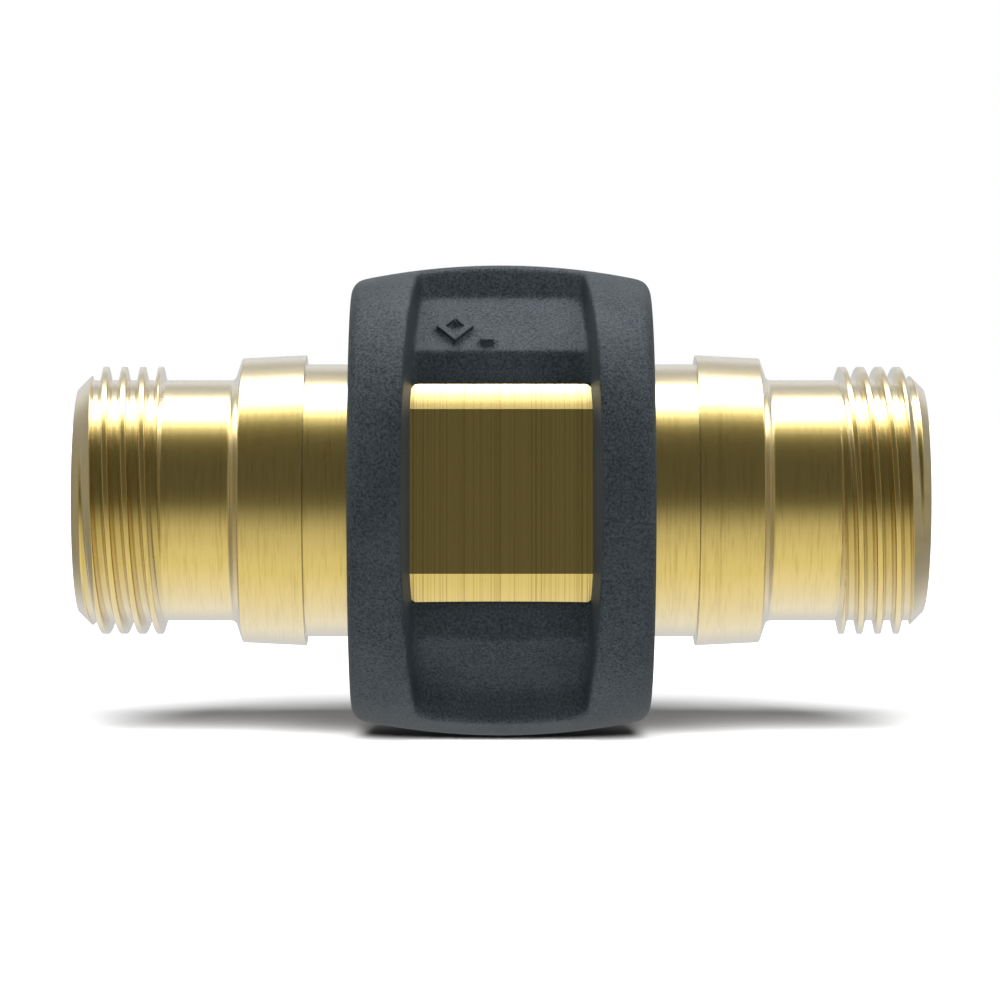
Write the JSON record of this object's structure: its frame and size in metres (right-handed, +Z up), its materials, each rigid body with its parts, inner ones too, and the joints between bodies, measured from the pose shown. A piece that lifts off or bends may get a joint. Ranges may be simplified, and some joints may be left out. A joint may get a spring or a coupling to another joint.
{
  "type": "double-male hose connector",
  "caption": "Straight brass hose connector with a coarse male thread at each end and a moulded rubber grip ring with spanner windows over its central flange.",
  "frame": {"origin": "on the connector's axis, halfway between its two end faces", "axes": "+X along the hose line, -Y out of the front spanner window, +Z up, towards the front window's label facet"},
  "size_m": [0.069, 0.0374, 0.0384],
  "materials": {
    "brass": "turned, with fine circumferential tool lines",
    "grip_rubber": "moulded, fine spark-eroded grain"
  },
  "bodies": {
    "root": {"brass_body": "brass", "grip_ring": "grip_rubber"}
  },
  "joints": []
}
